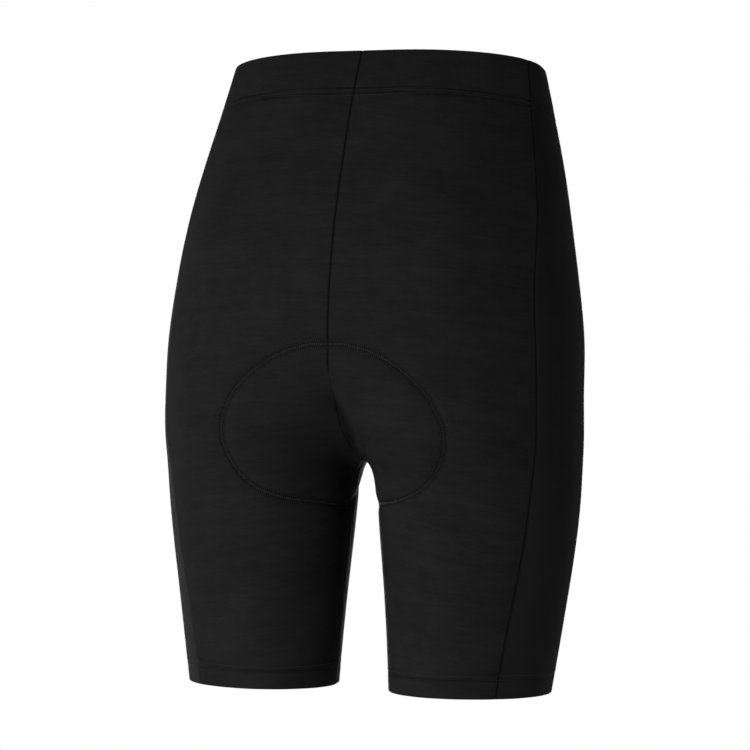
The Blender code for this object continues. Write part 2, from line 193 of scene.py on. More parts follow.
def first_crossing(start, direction, reach, samples):
    """The first place along each ray where it leaves the garment."""
    distances = np.linspace(0.0, reach, samples)
    outside = np.stack([form_value(start + direction * d) > 0.0 for d in distances])
    index = np.maximum(outside.argmax(0), 1)
    low, high = distances[index - 1], distances[index]
    for _ in range(30):
        middle = (low + high) / 2.0
        beyond = form_value(start + direction * middle[..., None]) > 0.0
        high = np.where(beyond, middle, high)
        low = np.where(beyond, low, middle)
    return start + direction * ((low + high) / 2.0)[..., None]


# %% [markdown]
# Panels end at seams, so the seams come first: the middle seam runs down the back, through
# the crotch and up the front, an inseam runs down each leg, and the side panel has a seam in
# front and one behind. Each is a short table of angles round the leg.

# %% Seams, waist and hem as lines
BACK_SEAM = (
    (335.0, 10.0), (290.0, 15.0), (210.0, 21.0), (145.0, 27.0), (95.0, 30.0), (50.0, 33.0),
    (10.0, 37.0), (-30.0, 40.0), (-75.0, 43.0), (-150.0, 50.0), (-190.0, 52.0),
)
FRONT_SEAM = (
    (335.0, -24.0), (290.0, -26.0), (210.0, -30.0), (145.0, -32.0), (95.0, -34.0), (50.0, -36.0),
    (10.0, -37.0), (-30.0, -38.0), (-75.0, -40.0), (-150.0, -44.0), (-190.0, -46.0),
)
INSEAM = ((0.0, 180.0), (-20.0, 182.0), (-60.0, 186.0), (-120.0, 190.0), (-190.0, 192.0))
PROFILE_PIVOT_Y = 20.0
PROFILE_PIVOT_HEIGHT = 200.0


def round_leg(height, degrees):
    """Points of the form at the given heights and angles round the leg's axis."""
    size = section_at(height)
    turn = np.radians(degrees)
    start = np.stack([size["axis"], size["widest"], height], -1)
    direction = np.stack([np.cos(turn), np.sin(turn), np.zeros_like(turn)], -1)
    return first_crossing(start, direction, 140.0, 90)


def waist_height(y):
    """Height of the waist's top edge."""
    return WAIST_TOP_BACK + WAIST_SLOPE * (y - WAIST_BACK_Y)


def distances_along(line):
    """Distance from the first point to each point of a line."""
    steps = np.linalg.norm(np.diff(line, axis=0), axis=1)
    return np.concatenate([[0.0], np.cumsum(steps)])


def points_at(line, distances):
    """Points of a line at the given distances from its start."""
    measured = distances_along(line)
    return np.stack([np.interp(distances, measured, line[:, axis]) for axis in range(3)], -1)


def trim_to_waist(line):
    """Cut a line that starts over the waist's edge where it crosses that edge."""
    over = line[:, 2] - waist_height(line[:, 1])
    first = int(np.argmax(over <= 0.0))
    share = over[first - 1] / (over[first - 1] - over[first])
    crossing = line[first - 1] + share * (line[first] - line[first - 1])
    return np.concatenate([crossing[None], line[first:]])


def middle_line(samples=1400):
    """The line down the middle of the back, through the crotch and up the front."""
    turn = np.radians(np.linspace(78.0, -230.0, samples))
    direction = np.stack([np.zeros(samples), np.cos(turn), np.sin(turn)], -1)
    start = np.zeros((samples, 3))
    start[:, 1] = PROFILE_PIVOT_Y
    start[:, 2] = PROFILE_PIVOT_HEIGHT
    line = first_crossing(start, direction, 330.0, 160)
    return trim_to_waist(trim_to_waist(line)[::-1])[::-1]


def leg_line(seam, top=None):
    """A seam down one leg, from the waist or from a given top point to the hem."""
    angle = table_curve(seam)
    if top is None:
        height = np.linspace(WAIST_TOP_BACK, HEM_HEIGHT, 420)
        return trim_to_waist(round_leg(height, angle(height)))
    height = np.linspace(top[2] - 1.5, HEM_HEIGHT, 220)
    return np.concatenate([top[None], round_leg(height, angle(height))])


def waist_line(start, end, samples=160):
    """The waist's top edge from one seam to the next."""
    share = np.linspace(0.0, 1.0, samples)[:, None]
    line = start + share * (end - start)
    for _ in range(12):
        line = settle(line, rounds=1)
        line[:, 2] = waist_height(line[:, 1])
    return line


def hem_line(start, end, samples=160):
    """The hem's lower edge from one seam to the next."""
    size = section_at(HEM_HEIGHT)
    centre = np.array([float(size["axis"]), float(size["widest"])])
    turns = [math.degrees(math.atan2(p[1] - centre[1], p[0] - centre[0])) for p in (start, end)]
    if turns[0] < turns[1] - 180.0:
        turns[0] += 360.0
    if turns[1] < turns[0] - 180.0:
        turns[1] += 360.0
    return round_leg(np.full(samples, HEM_HEIGHT), np.linspace(turns[0], turns[1], samples))


whole_middle = middle_line()
crotch_at = int(np.argmin(whole_middle[:, 2]))
inseam_line = leg_line(INSEAM, top=whole_middle[crotch_at])
print("middle seam: %.0f mm" % distances_along(whole_middle)[-1])
print("inseam: %.0f mm" % distances_along(inseam_line)[-1])

# %% [markdown]
# A panel is a grid between its seams. A coarse grid is laid and then relaxed, which lets its
# points slide on the form until they are spread evenly, as stretch cloth spreads itself.
# Rows near the waist and the hem keep a fixed distance from the edge, so that stitching can
# follow them.

# %% Coarse panels
CASING_ZONE = 48.0
HEM_ZONE = 24.0
COARSE_CASING = (0.0, 16.0, 32.0)
COARSE_HEM = (16.0, 8.0, 0.0)
ROWS_OVER_CROTCH = 20
ROWS_UNDER_CROTCH = 9
CROTCH_CROWDING = 1.3
LEG_CROWDING = 1.2
CROTCH_ROW = len(COARSE_CASING) + ROWS_OVER_CROTCH
CROTCH_COLUMNS = (0.0, 0.018, 0.042, 0.078, 0.13)
EVEN_COLUMNS = 8
SIDE_COLUMNS = 7
SIDE_TURN = 0.65
RELAX_STEPS = 160
PANEL_BREADTH = 170.0
SIDE_BREADTH = 62.0


def coarse_distances(length, turn):
    """Where a seam's coarse rows lie: the casing, down to the crotch's level, and to the hem."""
    over = np.linspace(1.0, 0.0, ROWS_OVER_CROTCH + 1) ** CROTCH_CROWDING
    under = np.linspace(0.0, 1.0, ROWS_UNDER_CROTCH + 1)[1:] ** LEG_CROWDING
    upper = turn - (turn - CASING_ZONE) * over
    lower = turn + (length - HEM_ZONE - turn) * under
    return np.concatenate([COARSE_CASING, upper, lower, length - np.array(COARSE_HEM)])


def laid_grid(left, right, top, bottom, columns, breadth):
    """A grid of points on the form between two seams' points, a waist line and a hem line."""
    left_at = distances_along(left)
    right_at = distances_along(right)
    ends = [points_at(line, columns * distances_along(line)[-1]) for line in (top, bottom)]
    across = columns[None, :, None]
    down = (left_at / left_at[-1])[:, None, None]
    grid = (1.0 - across) * left[:, None] + across * right[:, None]
    grid = grid + (1.0 - down) * ends[0][None] + down * ends[1][None]
    for row, weight in ((0, 1.0 - down), (-1, down)):
        grid = grid - weight * ((1.0 - across) * left[row] + across * right[row])
    grid[:, 0], grid[:, -1] = left, right
    grid[0], grid[-1] = ends
    grid[1:-1, 1:-1] = settle(grid[1:-1, 1:-1], rounds=8)
    return relaxed(grid, columns * breadth, (left_at + right_at) / 2.0)


def relaxed(grid, column_at, row_at):
    """Let the inner points slide on the form until they are spread like their spacing."""
    column_gap, row_gap = np.diff(column_at), np.diff(row_at)
    column_share = (column_gap[1:] + column_gap[:-1]) / 2.0
    row_share = (row_gap[1:] + row_gap[:-1]) / 2.0
    before = (row_share[:, None] / column_gap[None, :-1])[..., None]
    after = (row_share[:, None] / column_gap[None, 1:])[..., None]
    above = (column_share[None, :] / row_gap[:-1, None])[..., None]
    below = (column_share[None, :] / row_gap[1:, None])[..., None]
    total = before + after + above + below
    for _ in range(RELAX_STEPS):
        pull = before * grid[1:-1, :-2] + after * grid[1:-1, 2:]
        pull = pull + above * grid[:-2, 1:-1] + below * grid[2:, 1:-1]
        grid[1:-1, 1:-1] = settle(pull / total, rounds=1)
    return grid


def coarse_panels():
    """The three panels of the wearer's left half, the back and the front from the middle out."""
    middles = {
        "back": np.concatenate([whole_middle[:crotch_at], inseam_line]),
        "front": np.concatenate([whole_middle[:crotch_at:-1], inseam_line]),
    }
    outers = {"back": leg_line(BACK_SEAM), "front": leg_line(FRONT_SEAM)}
    columns = np.concatenate([CROTCH_COLUMNS, np.linspace(0.13, 1.0, EVEN_COLUMNS + 1)[1:]])
    grids, edges = {}, {}
    inseam_length = distances_along(inseam_line)[-1]
    for name in ("back", "front"):
        length = distances_along(middles[name])[-1]
        middle = points_at(middles[name], coarse_distances(length, length - inseam_length))
        length = distances_along(outers[name])[-1]
        edges[name] = points_at(outers[name], coarse_distances(length, length * SIDE_TURN))
        top = waist_line(middle[0], edges[name][0])
        bottom = hem_line(middle[-1], edges[name][-1])
        grids[name] = laid_grid(middle, edges[name], top, bottom, columns, PANEL_BREADTH)
    top = waist_line(edges["back"][0], edges["front"][0])
    bottom = hem_line(edges["back"][-1], edges["front"][-1])
    even = np.linspace(0.0, 1.0, SIDE_COLUMNS + 1)
    grids["side"] = laid_grid(edges["back"], edges["front"], top, bottom, even, SIDE_BREADTH)
    return grids, {"back": columns, "front": columns, "side": even}


coarse, coarse_columns = coarse_panels()
print("coarse grids:", {name: grid.shape[:2] for name, grid in coarse.items()})

# %% [markdown]
# Fine cloth needs points a couple of millimetres apart, and far closer where the edge folds
# over, beside a seam and under a row of stitches. A spline through the coarse rows and columns
# gives them, and a last slide puts them on the form.

# %% Fine panels
PLAIN_STEP = 2.4
EDGE_ROWS = (0.0, 0.12, 0.45, 0.95, 1.6, 2.6, 4.0, 6.0, 8.0, 10.0)


def between(low, high, step):
    """Even places from low to high, at most a step apart, without low itself."""
    return np.linspace(low, high, int(math.ceil((high - low) / step)) + 1)[1:]


def around(centre):
    """Places close together under one row of stitches."""
    return centre + np.array([-1.2, -0.7, -0.35, 0.0, 0.35, 0.7, 1.2])


def fine_distances(length, turn):
    """Distances from the waist's edge down one seam, for the fine rows."""
    first, second = CASING_STITCHES
    casing = np.concatenate([
        EDGE_ROWS, between(10.0, first - 3.0, 2.4), around(first), [(first + second) / 2.0],
        around(second), [second + 2.6, CASING_ZONE],
    ])
    low, high = HEM_STITCHES
    hem = np.concatenate([
        [HEM_ZONE], around(high)[::-1], [(low + high) / 2.0], around(low)[::-1],
        [low - 2.6], EDGE_ROWS[::-1],
    ])
    upper = between(CASING_ZONE, turn, PLAIN_STEP)
    lower = between(turn, length - HEM_ZONE, PLAIN_STEP)
    return np.concatenate([casing, upper, lower, length - hem[1:]])


def fine_columns(breadth):
    """Distances across a panel, close together beside its seams."""
    edge = np.array([0.0, 0.3, 0.7, 1.2, 1.9, 2.8, 4.0, 5.6, 7.6])
    inside = between(edge[-1], breadth - edge[-1], PLAIN_STEP)
    return np.concatenate([edge, inside, (breadth - edge[::-1])[1:]])


def resampled(grid, row_at, column_at):
    """A finer grid on the form, through the coarse rows and columns."""
    def spline(values, at):
        flat = values.reshape(len(values), -1)
        curve = natural_spline(np.arange(len(values)), flat)
        return curve(at).reshape(len(at), *values.shape[1:])

    over = row_at <= CROTCH_ROW
    upper = spline(grid[:CROTCH_ROW + 1], row_at[over])
    lower = spline(grid[CROTCH_ROW:], row_at[~over] - CROTCH_ROW)
    rows = np.concatenate([upper, lower])
    return settle(spline(rows.swapaxes(0, 1), column_at).swapaxes(0, 1), rounds=3)


back_middle = coarse["back"][:, 0]
middle_at = distances_along(back_middle)
fine_at = fine_distances(middle_at[-1], middle_at[CROTCH_ROW])
row_index = np.interp(fine_at, middle_at, np.arange(len(middle_at)))
fine = {}
for name, grid in coarse.items():
    breadth = SIDE_BREADTH if name == "side" else PANEL_BREADTH
    shares = fine_columns(breadth) / breadth
    column_index = np.interp(shares, coarse_columns[name], np.arange(grid.shape[1]))
    fine[name] = resampled(grid, row_index, column_index)
print("fine grids:", {name: grid.shape[:2] for name, grid in fine.items()})

# %% [markdown]
# The seat pad is sewn through the cloth, and its two-needle ring of stitches is the shorts'
# most telling line. The ring is walked out over the form from the middle seam, at half widths
# measured across the pad.

# %% Outline of the seat pad
PAD_BACK_HEIGHT = 95.0
PAD_HALF_WIDTHS = (
    (0.0, 13.0), (3.0, 27.0), (8.0, 42.0), (16.0, 57.0), (28.0, 75.0), (45.0, 91.0),
    (62.0, 98.0), (76.0, 96.0), (88.0, 89.0), (100.0, 76.0), (112.0, 62.0), (124.0, 50.0),
    (136.0, 44.0), (150.0, 41.0), (185.0, 39.0), (220.0, 41.0), (255.0, 40.0), (275.0, 31.0),
    (286.0, 19.0), (290.0, 11.0),
)
PAD_LENGTH = PAD_HALF_WIDTHS[-1][0]
WALK_STEP = 1.5
RING_STEP = 1.0


def walked_rows(starts, columns, half_widths):
    """Rows of points walked over the form from the middle towards the wearer's left."""
    steps = int(math.ceil(half_widths.max() / WALK_STEP)) + 1
    places = [starts]
    heading = np.tile([1.0, 0.0, 0.0], (len(starts), 1))
    for _ in range(steps):
        here = places[-1]
        there = settle(here + heading * WALK_STEP, rounds=2)
        normal = form_normal(there)
        heading = there - here
        heading = heading - (heading * normal).sum(1, keepdims=True) * normal
        heading = heading / np.linalg.norm(heading, axis=1, keepdims=True)
        places.append(there)
    paths = np.stack(places, 1)
    return np.stack([points_at(path, columns * w) for path, w in zip(paths, half_widths)])


def pad_starts(along):
    """Points of the middle seam at the given distances from the pad's rear end."""
    first = int(np.argmax((whole_middle[:, 2] < PAD_BACK_HEIGHT) & (whole_middle[:, 1] > 0.0)))
    rear = distances_along(whole_middle)[first]
    return settle(points_at(whole_middle, rear + along))


def ring_line():
    """The pad's outline on the wearer's left, from the middle behind to the middle in front."""
    along = np.linspace(0.0, PAD_LENGTH, 291)
    half_widths = table_curve(PAD_HALF_WIDTHS)(along)
    columns = np.linspace(0.0, 1.0, 25)
    rows = walked_rows(pad_starts(along), columns, half_widths)
    line = np.concatenate([rows[0, :-1], rows[:, -1], rows[-1, -2::-1]])
    length = distances_along(line)[-1]
    line = settle(points_at(line, np.arange(0.0, length, RING_STEP)))
    for _ in range(6):
        line[1:-1] = settle((line[:-2] + 2.0 * line[1:-1] + line[2:]) / 4.0, rounds=1)
    return line


ring = ring_line()
ring_tangent = np.gradient(ring, axis=0)
ring_tangent[0] = ring_tangent[-1] = (0.0, 0.0, 0.0)
ring_tangent[0, 0], ring_tangent[-1, 0] = 1.0, -1.0
ring_tangent /= np.linalg.norm(ring_tangent, axis=1, keepdims=True)
ring_normal = form_normal(ring)
ring_outward = np.cross(ring_tangent, ring_normal)
pad_middle = pad_starts(np.array([PAD_LENGTH * 0.35]))[0]
if ((ring[200] - pad_middle) * ring_outward[200]).sum() < 0.0:
    ring_outward = -ring_outward
print("pad ring: %.0f mm round" % (2.0 * distances_along(ring)[-1]))

# %% [markdown]
# Relief is what the needle, the elastic and the body do to flat cloth: a groove along each
# seam, a dent under each row of stitches, tiny gathers over the elastic, and soft troughs
# where cloth is pulled or spare. All are small moves along the outward direction, worked out
# from distances, so they run on over the seams. The creases are listed one by one, each with
# its own size.

# %% Relief of the cloth
CREASES = (
    # face, start x and z, end x and z, width, depth (below zero for a trough)
    ("back", 6.0, 62.0, 10.0, 8.0, 9.0, -0.9),
    ("back", -6.0, 60.0, -12.0, 6.0, 9.0, -0.9),
    ("back", 14.0, 6.0, 46.0, -22.0, 6.0, -0.8),
    ("back", -16.0, 4.0, -50.0, -16.0, 7.0, -0.7),
    ("back", 30.0, -34.0, 120.0, -26.0, 12.0, -0.8),
    ("back", -34.0, -38.0, -112.0, -30.0, 13.0, -0.7),
    ("back", 96.0, 214.0, 142.0, 186.0, 10.0, -0.6),
    ("back", -90.0, 226.0, -138.0, 205.0, 9.0, -0.5),
    ("back", 40.0, 262.0, 84.0, 250.0, 9.0, -0.4),
    ("back", -36.0, 250.0, -70.0, 243.0, 8.0, -0.4),
    ("back", 70.0, -120.0, 132.0, -104.0, 11.0, -0.5),
    ("back", -62.0, -108.0, -128.0, -124.0, 10.0, -0.5),
    ("front", 10.0, 40.0, 74.0, 72.0, 8.0, -1.0),
    ("front", -11.0, 36.0, -78.0, 66.0, 9.0, -0.9),
    ("front", 14.0, 14.0, 64.0, 26.0, 7.0, -0.8),
    ("front", -13.0, 10.0, -58.0, 20.0, 8.0, -0.8),
    ("front", 66.0, 92.0, 138.0, 128.0, 12.0, -0.8),
    ("front", -70.0, 88.0, -134.0, 120.0, 11.0, -0.7),
    ("front", 22.0, 196.0, 96.0, 206.0, 13.0, -0.6),
    ("front", -30.0, 212.0, -104.0, 203.0, 12.0, -0.6),
    ("front", 50.0, -66.0, 126.0, -50.0, 11.0, -0.6),
    ("front", -46.0, -58.0, -120.0, -72.0, 12.0, -0.6),
)


def dent(distance, depth, width):
    """A soft trough, or a ridge where the depth is below zero."""
    return -depth * np.exp(-((distance / width) ** 2))


def ramp(value, low, high):
    """From 0 at low to 1 at high, with soft ends."""
    share = np.clip((value - low) / (high - low), 0.0, 1.0)
    return share * share * (3.0 - 2.0 * share)


def ring_place(points):
    """Distance outwards from the pad's ring, below zero on the pad, and the place along it."""
    left_half = points * np.where(points[..., :1] < 0.0, -1.0, 1.0) ** np.array([1, 0, 0])
    flat = left_half.reshape(-1, 3)
    distance = np.full(len(flat), 60.0)
    place = np.zeros(len(flat))
    near = np.flatnonzero((flat[:, 2] < 125.0) & (flat[:, 2] > -75.0) & (flat[:, 0] < 125.0))
    for chunk in np.array_split(near, max(1, len(near) // 2000)):
        gaps = np.linalg.norm(flat[chunk, None] - ring[None], axis=2)
        nearest = gaps.argmin(1)
        away = flat[chunk] - ring[nearest]
        side = np.sign((away * ring_outward[nearest]).sum(1))
        distance[chunk] = np.where(side == 0.0, 1.0, side) * gaps[np.arange(len(chunk)), nearest]
        place[chunk] = nearest * RING_STEP
    return distance.reshape(points.shape[:-1]), place.reshape(points.shape[:-1])


def crease_relief(points):
    """The listed troughs."""
    total = np.zeros(points.shape[:-1])
    rear = ramp(points[..., 1], 15.0, 45.0)
    for face, x1, z1, x2, z2, width, depth in CREASES:
        start, end = np.array([x1, z1]), np.array([x2, z2])
        run = end - start
        place = points[..., (0, 2)] - start
        share = np.clip((place * run).sum(-1) / (run * run).sum(), 0.0, 1.0)
        gap = np.linalg.norm(place - share[..., None] * run, axis=-1)
        fading = 0.35 + 0.65 * np.sin(math.pi * np.clip(share * 0.9 + 0.05, 0.0, 1.0))
        weight = rear if face == "back" else 1.0 - rear
        total = total + weight * dent(gap, -depth, width) * fading
    return total


CLEFT_LEAN = -8.0
CLEFT_DEPTH = 3.4
CLEFT_WIDTH = 5.2


def cleft_relief(points):
    """The sharp valley between the seat's halves, which leans to the wearer's right."""
    height = points[..., 2]
    lean = CLEFT_LEAN * ramp(62.0 - height, 0.0, 34.0) * ramp(height, 2.0, 24.0)
    from_cleft = points[..., 0] - lean
    strength = ramp(68.0 - height, 0.0, 22.0) * ramp(height, 2.0, 20.0)
    valley = dent(from_cleft, CLEFT_DEPTH, CLEFT_WIDTH)
    lobes = dent(from_cleft - 17.0, -2.4, 12.0) + dent(from_cleft + 8.0, -2.4, 5.5)
    return strength * ramp(points[..., 1], 36.0, 62.0) * (valley + lobes)


def place_relief(points):
    """Relief that depends on where the cloth is: the pad's ring and puff, and the creases."""
    away, place = ring_place(points)
    side = np.sign(points[..., 0])
    puff = 1.2 * ramp(-away, 2.5, 12.0)
    drawn = dent(away, 1.1, 3.6)
    gather = np.sin(place / 1.25 + 1.7 * np.sin(place / 9.0 + side)) * np.sin(place / 4.3 + side)
    puckers = 0.16 * gather * np.exp(-((away / 6.0) ** 2))
    return crease_relief(points) + cleft_relief(points) + puff + drawn + puckers


print("creases placed by hand:", len(CREASES))

# %% [markdown]
# The relief near edges follows distances in the panel itself. The waist's elastic draws the
# cloth into fine upright gathers, strongest at its stitches, and the hem's two needle rows
# dent it. The wall grows thicker where cloth is turned over, and a bead runs along each seam
# inside, where the cut edges are sewn together.


# %% Relief by distance in the panel
def elastic_gathers(points):
    """Fine upright gathers round the waist, uneven in width and depth."""
    turn = np.arctan2(points[..., 0], -points[..., 1])
    wander = 2.6 * np.sin(3.0 * turn + 0.4) + 1.9 * np.sin(7.0 * turn + 2.1)
    wave = 0.6 * np.sin(96.0 * turn + wander) + 0.4 * np.sin(149.0 * turn - 1.7 * wander + 1.0)
    strength = 0.6 + 0.4 * np.sin(5.0 * turn + 0.9) * np.sin(2.0 * turn)
    return wave * strength


def edge_relief(points, down, up):
    """Relief of the waist's casing and of the hem."""
    first, second = CASING_STITCHES
    low, high = HEM_STITCHES
    gathers = elastic_gathers(points)
    at_casing = np.exp(-(((down - 39.0) / 9.0) ** 2)) + 0.35 * ramp(50.0 - down, 0.0, 25.0)
    turn = np.arctan2(points[..., 1] - 36.0, np.abs(points[..., 0]) - 90.0)
    ripple = np.sin(11.0 * turn + 0.7) * np.sin(4.0 * turn + np.sign(points[..., 0]))
    relief = 0.20 * gathers * at_casing
    relief += dent(down - first, 0.30, 0.8) + dent(down - second, 0.26, 0.8)
    relief += 0.25 * ramp(37.0 - down, 0.0, 8.0)
    relief += dent(up - low, 0.28, 0.8) + dent(up - high, 0.26, 0.8)
    relief += 0.22 * ripple * ramp(26.0 - up, 0.0, 20.0)
    return relief


def seam_strength(points, middle_seam):
    """How much of a seam shows. In the seat the middle seam is stretched flat and fades out."""
    if not middle_seam:
        return 1.0
    return 1.0 - ramp(80.0 - points[..., 2], 0.0, 8.0) * ramp(points[..., 1], 40.0, 52.0)


def seam_relief(to_seam):
    """Groove of a seam."""
    return dent(to_seam, 0.45, 0.8) + dent(to_seam, 0.12, 3.0)


def stitch_shade_share(points, down, up, seams):
    """Painted shade beside seams and stitches: how far the cloth's colour is darkened, from 0 to
    1.
    """
    share = np.zeros(down.shape)
    for distances, strength in seams:
        share = np.maximum(share, strength * np.exp(-((distances / 0.9) ** 2)))
    for at in CASING_STITCHES:
        share = np.maximum(share, 0.7 * np.exp(-(((down - at) / 0.8) ** 2)))
    for at in HEM_STITCHES:
        share = np.maximum(share, 0.7 * np.exp(-(((up - at) / 0.8) ** 2)))
    return share


def wall_at(down, up):
    """The cloth's wall: turned over an elastic at the waist, turned up once at the hem."""
    wall = CLOTH_WALL + (CASING_WALL - CLOTH_WALL) * ramp(34.0 - down, 0.0, 1.6)
    wall = np.maximum(wall, CLOTH_WALL + 0.8 * ramp(44.0 - down, 0.0, 0.7))
    return np.maximum(wall, CLOTH_WALL + (HEM_WALL - CLOTH_WALL) * ramp(18.0 - up, 0.0, 0.7))


def rounding(distance, radius):
    """How far a face turns in near a fold, as round a half circle."""
    inside = np.clip(radius - distance, 0.0, radius)
    return radius - np.sqrt(radius * radius - inside * inside)


print("wall: %.1f mm, %.1f at the waist, %.1f at the hem" % (CLOTH_WALL, CASING_WALL, HEM_WALL))

# %% [markdown]
# Now the shells. Outer points are the grid moved by its relief, inner ones lie a wall's
# thickness inside, and the two meet in a rounded fold at the waist and the hem. The right
# half uses the mirrored grid, but its creases and gathers are its own. The grid's distances
# become the UV map in metres, because a knit's loops follow the cloth.


# %% Building one shell
def row_distances(grid):
    """Distances across and down a grid, from each of its four edges."""
    across = np.linalg.norm(np.diff(grid, axis=1), axis=2).cumsum(1)
    across = np.concatenate([np.zeros((len(grid), 1)), across], 1)
    down = np.linalg.norm(np.diff(grid, axis=0), axis=2).cumsum(0)
    down = np.concatenate([np.zeros((1, grid.shape[1])), down], 0)
    return across, across[:, -1:] - across, down, down[-1:] - down


def draw_in(grid):
    """Move a panel's seam edges back by half the seam's gap. Inside, the edges stay joined."""
    grid = grid.copy()
    for edge, beside in ((0, 1), (-1, -2)):
        step = grid[:, beside] - grid[:, edge]
        grid[:, edge] += SEAM_HALF_GAP * step / np.linalg.norm(step, axis=1, keepdims=True)
    return grid


def shell_points(grid, middle_edge):
    """Outer and inner points of a panel, and its distances across and down."""
    near, far, down, up = row_distances(grid)
    normal = form_normal(grid)
    shown = seam_strength(grid, middle_edge)
    relief = place_relief(grid) + edge_relief(grid, down, up)
    relief += shown * seam_relief(near) + seam_relief(far)
    # Painted shade beside seams and stitches, kept as the mesh attribute "sewn".
    painted_stitch_shade = stitch_shade_share(grid, down, up, ((near, shown), (far, 1.0)))
    wall = wall_at(down, up)
    fold = rounding(down, CASING_WALL / 2.0) + rounding(up, HEM_WALL / 2.0)
    bead = dent(near, -0.6, 2.2) + dent(far, -0.6, 2.2)
    soft = 0.6 * (place_relief(grid) + 0.2 * elastic_gathers(grid) * (down < CASING_ZONE))
    outer = draw_in(grid) + normal * (relief - fold)[..., None]
    inner = grid + normal * (np.minimum(soft, 0.2) - wall - bead * (wall < 1.3) + fold)[..., None]
    for row in (0, -1):
        inner[row] = outer[row]
    return outer, inner, near, down, {"sewn": painted_stitch_shade, "from_ring": ring_place(grid)[0] * MM}


def finished_mesh(name, points, faces, uv):
    """A smooth mesh in metres with its faces outwards and the cloth's UV map."""
    mesh = bpy.data.meshes.new(name)
    mesh.from_pydata(((points - ORIGIN) * MM).tolist(), [], faces)
    corner_points = np.empty(len(mesh.loops), int)
    mesh.loops.foreach_get("vertex_index", corner_points)
    mesh.uv_layers.new(name="cloth").data.foreach_set("uv", uv[corner_points].ravel())
    solid = bmesh.new()
    solid.from_mesh(mesh)
    bmesh.ops.recalc_face_normals(solid, faces=solid.faces)
    solid.to_mesh(mesh)
    solid.free()
    mesh.shade_smooth()
    return mesh


def shell_mesh(name, outer, inner, across, down, marks):
    """A closed shell of the outer and the inner points."""
    rows, columns = outer.shape[:2]
    ring_points = np.concatenate([outer, inner[-2:0:-1]])
    count = len(ring_points)
    index = np.arange(count * columns).reshape(count, columns)
    following = np.roll(index, -1, axis=0)
    quads = np.stack([index[:, :-1], following[:, :-1], following[:, 1:], index[:, 1:]], -1)
    faces = quads.reshape(-1, 4).tolist()
    for column in (0, columns - 1):
        for row in range(rows - 1):
            corners = [row, row + 1, (count - row - 1) % count, (count - row) % count]
            faces.append([index[corner, column] for corner in dict.fromkeys(corners)])
    uv = np.stack([across, down], -1) * MM
    uv = np.concatenate([uv, uv[-2:0:-1]]).reshape(-1, 2)
    mesh = finished_mesh(name, ring_points.reshape(-1, 3), faces, uv)
    inside = np.zeros((rows, columns))
    for label, values in {**marks, "inside": inside}.items():
        beneath = np.ones((rows - 2, columns)) if label == "inside" else values[-2:0:-1]
        attribute = mesh.attributes.new(label, "FLOAT", "POINT")
        attribute.data.foreach_set("value", np.concatenate([values, beneath]).ravel())
    mesh.set_sharp_from_angle(angle=math.radians(60.0))
    return mesh


# %% [markdown]
# Next come the finishes. Shader nodes are sums on numbers that vary over the surface, and
# they read best as ordinary expressions. So one small class holds a node's output and turns
# plus, minus and times into Math nodes, and one method adds any other node.


# %% Shader maths as expressions
class Number:
    """A value that varies over a surface, which can be reckoned with like a plain number."""

    def __init__(self, finish, socket):
        self.finish = finish
        self.socket = socket

    def made(self, operation, *values):
        """The result of one Math node."""
        node = self.finish.add("ShaderNodeMath", {"operation": operation}, dict(enumerate(values)))
        return Number(self.finish, node.outputs[0])

    def __add__(self, other):
        return self.made("ADD", self, other)

    def __radd__(self, other):
        return self.made("ADD", other, self)

    def __sub__(self, other):
        return self.made("SUBTRACT", self, other)

    def __rsub__(self, other):
        return self.made("SUBTRACT", other, self)

    def __mul__(self, other):
        return self.made("MULTIPLY", self, other)

    def __rmul__(self, other):
        return self.made("MULTIPLY", other, self)

    def __truediv__(self, other):
        return self.made("DIVIDE", self, other)

    def cosine(self):
        return self.made("COSINE", self)

    def size(self):
        return self.made("ABSOLUTE", self)

    def near(self, width):
        """1 where the value is zero, down to 0 where it is a width away."""
        return self.made("MAXIMUM", 1.0 - self.size() / width, 0.0)


class Finish:
    """A material and the nodes that feed its shader."""

    def __init__(self, name, roughness, **constants):
        self.material = bpy.data.materials.new(name)
        self.material.use_nodes = True
        self.tree = self.material.node_tree
        self.shader = self.tree.nodes["Principled BSDF"]
        self.shader.inputs["Roughness"].default_value = roughness
        for socket, value in constants.items():
            self.shader.inputs[socket.replace("_", " ")].default_value = value

    def add(self, kind, settings=None, values=None):
        """Any node: its kind, its settings, and the values or links of its sockets."""
        node = self.tree.nodes.new(kind)
        for setting, value in (settings or {}).items():
            setattr(node, setting, value)
        for socket, value in (values or {}).items():
            if isinstance(value, Number):
                value = value.socket
            if isinstance(value, bpy.types.NodeSocket):
                self.tree.links.new(value, node.inputs[socket])
            else:
                node.inputs[socket].default_value = value
        return node

    def noise(self, place, scale, detail=3.0, roughness=0.5):
        """Soft random variation from 0 to 1."""
        values = {"Vector": place, "Scale": scale, "Detail": detail, "Roughness": roughness}
        return Number(self, self.add("ShaderNodeTexNoise", None, values).outputs[0])

    def marked(self, label):
        """A mesh attribute by name."""
        node = self.add("ShaderNodeAttribute", {"attribute_name": label})
        return Number(self, node.outputs["Fac"])

    def mapped(self, place, scale):
        """A place stretched along its axes."""
        values = {"Vector": place, "Scale": scale}
        return self.add("ShaderNodeMapping", None, values).outputs[0]

    def colour(self, share, low, high):
        """A colour between two, linked to the shader."""
        stops = {"data_type": "RGBA"}
        values = {0: share, 6: (*low, 1.0), 7: (*high, 1.0)}
        mix = self.add("ShaderNodeMix", stops, values)
        return mix.outputs[2]

    def link(self, value, socket):
        """Feed one of the shader's sockets."""
        source = value.socket if isinstance(value, Number) else value
        self.tree.links.new(source, self.shader.inputs[socket])

    def bump(self, height, distance, strength=1.0):
        """Raise the surface by a height, given in metres at 1."""
        values = {"Height": height, "Distance": distance, "Strength": strength}
        self.link(self.add("ShaderNodeBump", None, values).outputs[0], "Normal")
